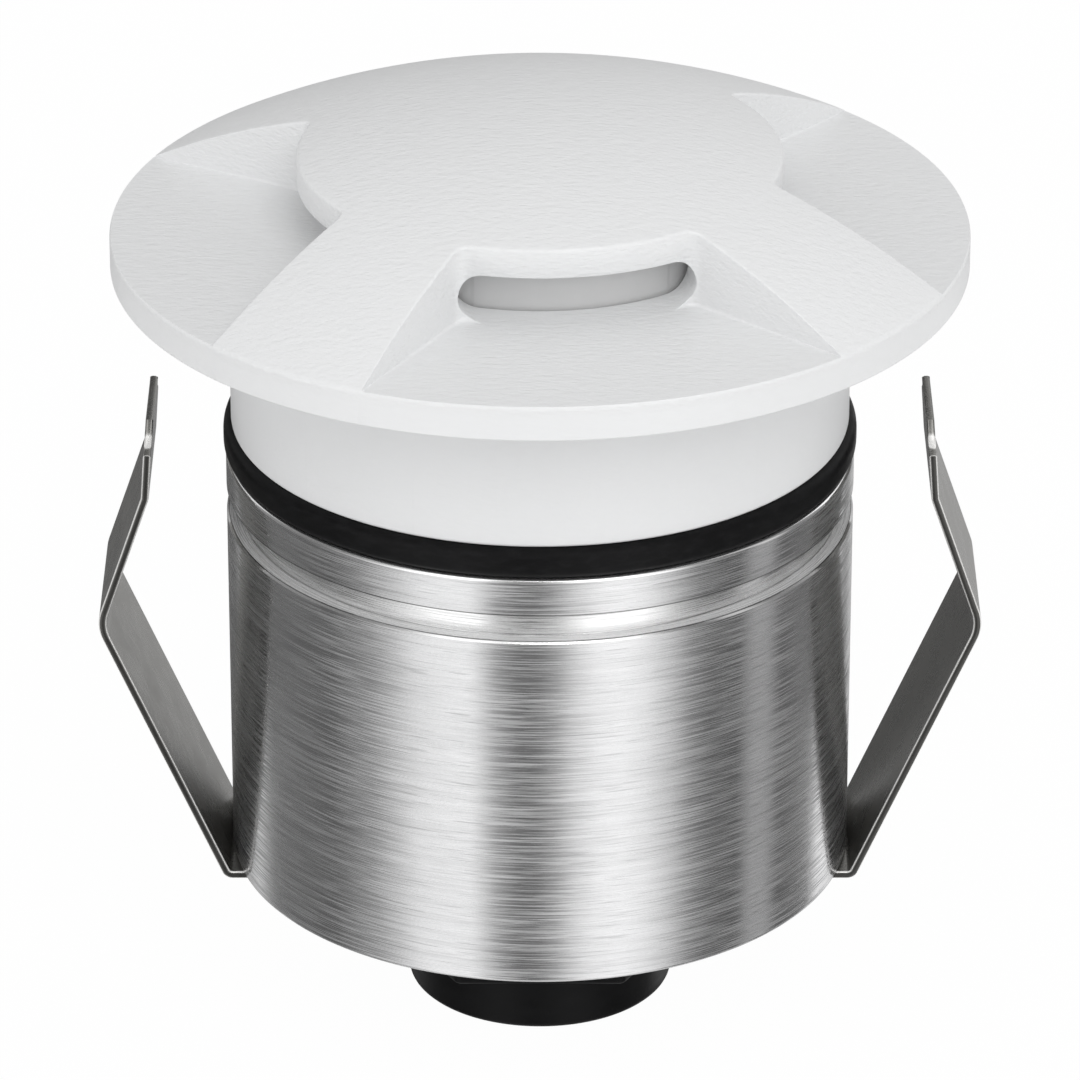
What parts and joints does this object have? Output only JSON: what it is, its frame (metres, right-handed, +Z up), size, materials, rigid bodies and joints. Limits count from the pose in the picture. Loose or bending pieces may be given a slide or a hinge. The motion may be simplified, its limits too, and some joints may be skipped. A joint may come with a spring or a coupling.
{
  "type": "in ground well light",
  "caption": "Round recessed ground light: a white domed head with side windows over a sealed brushed steel body, with a spring clip on each side and a cable gland below.",
  "frame": {"origin": "centre of the flange's underside, which is the level of the ground or deck board", "axes": "+Z up out of the ground along the light's axis, +X towards the right-hand spring clip, -Y towards the front window"},
  "size_m": [0.0624, 0.06, 0.067],
  "materials": {
    "white_coat": "white textured powder coat on die-cast aluminium",
    "frosted_plastic": "frosted translucent plastic",
    "white_plastic": "matt white reflector plastic",
    "white_board": "white solder mask on a metal-core board",
    "led_phosphor": "yellow phosphor under clear resin",
    "plain_steel": "plain stainless fastener",
    "pad_silicone": "soft blue-grey silicone pad",
    "sink_aluminium": "plain machined aluminium",
    "brass_parts": "turned brass",
    "green_board": "green solder mask on glass fibre board",
    "coil_copper": "enamelled copper winding on a ferrite drum",
    "dark_sleeve": "dark shrink sleeve with a bare aluminium end",
    "black_moulding": "black moulded component case",
    "blue_coating": "blue dipped epoxy",
    "green_moulding": "green moulded terminal housing",
    "lead_red": "red insulated lead",
    "seal_rubber": "black rubber with a soft satin sheen",
    "grey_rubber": "dark grey rubber",
    "brushed_steel": "stainless steel brushed round its axis",
    "liner_film": "ivory insulating film",
    "black_nylon": "black nylon with a fine moulded grain",
    "spring_steel": "satin grey-brown spring steel with bright cut edges"
  },
  "bodies": {
    "light": {"cap": "white_coat", "window_gasket": "grey_rubber", "light_guide": "frosted_plastic", "reflector_cone": "white_plastic", "led_board": "white_board", "led_chips": "led_phosphor", "led_board_screws": "plain_steel", "thermal_pad": "pad_silicone", "heat_sink": "sink_aluminium", "head_screws": "plain_steel", "standoffs": "brass_parts", "driver_board": "green_board", "driver_board_screws": "plain_steel", "inductor": "coil_copper", "capacitor": "dark_sleeve", "rectifier": "black_moulding", "driver_chip": "black_moulding", "varistor": "blue_coating", "terminal_block": "green_moulding", "led_leads": "lead_red", "cap_gasket": "seal_rubber", "housing": "brushed_steel", "insulating_liner": "liner_film", "gland_washer": "grey_rubber", "gland_body": "black_nylon", "gland_lock_nut": "black_nylon", "cable_grommet": "grey_rubber", "gland_nut": "black_nylon", "clip_rivets": "plain_steel", "clip_foot_left": "spring_steel", "clip_foot_right": "spring_steel"},
    "clip_lower_left": {"clip_arm_left": "spring_steel"},
    "clip_lower_right": {"clip_arm_right": "spring_steel"},
    "clip_upper_left": {"clip_tip_left": "spring_steel"},
    "clip_upper_right": {"clip_tip_right": "spring_steel"}
  },
  "joints": [
    {"name": "clip_squeeze_left", "type": "hinge", "parent": "light", "child": "clip_lower_left", "pos_m": [-0.02206, 0, -0.04535], "axis": [0, 1, 0], "range_deg": [0, 20], "stiffness_Nm_per_rad": 0.6},
    {"name": "clip_elbow_left", "type": "hinge", "parent": "clip_lower_left", "child": "clip_upper_left", "pos_m": [-0.03118, 0, -0.02587], "axis": [0, -1, 0], "range_deg": [0, 33.4]},
    {"name": "clip_squeeze_right", "type": "hinge", "parent": "light", "child": "clip_lower_right", "pos_m": [0.02206, 0, -0.04535], "axis": [0, -1, 0], "range_deg": [0, 20], "stiffness_Nm_per_rad": 0.6},
    {"name": "clip_elbow_right", "type": "hinge", "parent": "clip_lower_right", "child": "clip_upper_right", "pos_m": [0.03118, 0, -0.02587], "axis": [0, 1, 0], "range_deg": [0, 33.4]}
  ],
  "couplings": [
    {"joint": "clip_elbow_left", "follows": "clip_squeeze_left", "ratio": 1.67},
    {"joint": "clip_elbow_right", "follows": "clip_squeeze_right", "ratio": 1.67}
  ]
}
